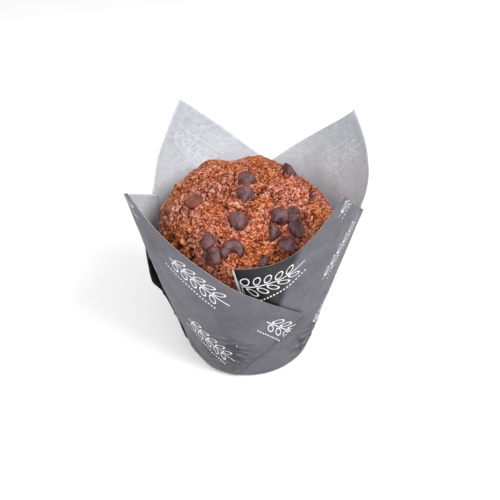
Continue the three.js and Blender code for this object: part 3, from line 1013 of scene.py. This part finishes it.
def crumb_finish():
    material, tree, shader = new_material("crumb_baked")
    place = split_place(tree)[0]
    pit, grain, tone, lip = (attribute(tree, name) for name in ("pit", "grain", "tone", "lip"))
    patch = ramp(tree, texture_noise(tree, place, 75, 4), 0.36, 0.64)
    speck = texture_noise(tree, place, 1350, 3, 0.62)
    # Painted light and shade: the low grains are given a deeper colour and the pits and the speck dents near
    # black as painted shade; the grain tops, the lips round the chips and the tops of the specks are paler
    # as painted highlights and glints. The patches and each grain's own tone are the crumb's colour.
    deep = mix(tree, patch, (0.15, 0.02, 0.003), (0.16, 0.02, 0.006))
    mid = mix(tree, patch, (0.4, 0.078, 0.012), (0.4, 0.075, 0.024))
    pale = mix(tree, patch, (0.8, 0.33, 0.15), (0.88, 0.47, 0.37))
    body = mix(tree, ramp(tree, grain, 0.05, 0.6), deep, mid)
    high = calc(tree, "MULTIPLY", ramp(tree, grain, 0.4, 0.95), ramp(tree, tone, 0.25, 0.9))
    painted_glint = calc(tree, "MULTIPLY", ramp(tree, speck, 0.53, 0.62), 0.9)
    paled = calc(tree, "MAXIMUM", calc(tree, "MAXIMUM", high, painted_glint), calc(tree, "MULTIPLY", lip, 0.45))
    lit = mix(tree, paled, body, pale)
    rough = calc(tree, "MULTIPLY_ADD", ramp(tree, texture_noise(tree, place, 120, 2), 0.4, 0.62), 0.6, 0.4)
    painted_speck_shade = calc(tree, "MULTIPLY", ramp(tree, speck, 0.465, 0.38), rough)
    hole = calc(tree, "MAXIMUM", pit, painted_speck_shade)
    colour = mix(tree, hole, lit, (0.045, 0.004, 0.001))
    tree.links.new(colour, shader.inputs["Base Color"])
    moist = texture_noise(tree, place, 500, 3)
    tree.links.new(ramp(tree, moist, -0.3, 1.0), shader.inputs["Roughness"])
    shader.inputs["Specular IOR Level"].default_value = 0.08
    bump = add_node(tree, "ShaderNodeBump", {"Strength": 1.0, "Distance": 1.4 * MM, "Height": speck})
    tree.links.new(bump.outputs[0], shader.inputs["Normal"])
    return material


def chocolate_finish():
    material, tree, shader = new_material("chocolate_bloomed")
    place = split_place(tree)[0]
    base, swirl, filmed = (attribute(tree, name) for name in ("base", "swirl", "filmed"))
    bloom = ramp(tree, texture_noise(tree, place, 380, 5, 0.66), 0.38, 0.62)
    ring = calc(tree, "MULTIPLY", calc(tree, "SINE", calc(tree, "MULTIPLY", swirl, 6.2)), base)
    dusty = calc(tree, "MULTIPLY_ADD", ring, 0.22, calc(tree, "MULTIPLY", bloom, 0.8), clamp=True)
    bare = mix(tree, dusty, (0.036, 0.009, 0.01), (0.17, 0.068, 0.07))
    film = mix(tree, dusty, (0.1, 0.022, 0.012), (0.27, 0.08, 0.045))
    colour = mix(tree, filmed, bare, film)
    tree.links.new(colour, shader.inputs["Base Color"])
    tree.links.new(ramp(tree, bloom, -0.8, 1.7), shader.inputs["Roughness"])
    shader.inputs["Specular IOR Level"].default_value = 0.4
    scuff = calc(tree, "MULTIPLY_ADD", ring, 0.8, texture_noise(tree, place, 1300, 3))
    bump = add_node(tree, "ShaderNodeBump", {"Strength": 0.7, "Distance": 0.4 * MM, "Height": scuff})
    tree.links.new(bump.outputs[0], shader.inputs["Normal"])
    return material


def floor_finish():
    material, _, shader = new_material("floor_pale")
    shader.inputs["Base Color"].default_value = (0.9, 0.9, 0.9, 1)
    shader.inputs["Roughness"].default_value = 0.9
    shader.inputs["Specular IOR Level"].default_value = 0.1
    return material


# ---------------------------------------------------------------- stage


def make_camera():
    data = bpy.data.cameras.new("camera")
    data.lens = CAMERA_LENS
    data.sensor_width = CAMERA_SENSOR
    data.clip_start = 0.01
    data.clip_end = 20.0
    camera = bpy.data.objects.new("camera", data)
    camera.location = Vector(CAMERA_PLACE) * MM
    camera.rotation_euler = Euler((math.radians(90 - CAMERA_DOWN), 0, 0))
    bpy.context.scene.collection.objects.link(camera)
    bpy.context.scene.camera = camera


def make_light(name, place, size, watts):
    """A square soft light that faces the middle of the muffin."""
    data = bpy.data.lights.new(name, "AREA")
    data.size = size * MM
    data.energy = watts
    light = bpy.data.objects.new(name, data)
    light.location = Vector(place) * MM
    away = light.location - Vector((0, 0, LIGHTS_AIM_HEIGHT * MM))
    light.rotation_euler = away.to_track_quat("Z", "Y").to_euler()
    bpy.context.scene.collection.objects.link(light)


def make_stage():
    half = FLOOR_SIDE / 2
    floor = new_piece("floor", [[-half, -half, 0], [half, -half, 0], [half, half, 0], [-half, half, 0]],
                      [(0, 1, 2, 3)])
    floor.data.materials.append(floor_finish())
    world = bpy.data.worlds.new("studio")
    world.use_nodes = True
    world.node_tree.nodes["Background"].inputs["Color"].default_value = (1, 1, 1, 1)
    world.node_tree.nodes["Background"].inputs["Strength"].default_value = WORLD_STRENGTH
    bpy.context.scene.world = world
    bpy.context.scene.view_settings.view_transform = "Standard"
    make_light("key", KEY_PLACE, KEY_SIZE, KEY_WATTS)
    make_light("fill", FILL_PLACE, FILL_SIZE, FILL_WATTS)


# ---------------------------------------------------------------- build


def stand_for(piece, node):
    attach(piece, "root")
    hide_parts(node)


make_camera()
make_stage()

paper = make_paper()
stand_for(paper, "paper_wrap")

chip_nodes = sorted(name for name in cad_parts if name.startswith("chocolate_chip"))
chocolate = chocolate_finish()
chips = [make_chip(chip, index + 1, chocolate) for index, chip in enumerate(CHIPS)]
crumb = make_crumb(chips)
stand_for(crumb, "muffin")
for chip, name in zip(chips, chip_nodes):
    stand_for(chip, name)
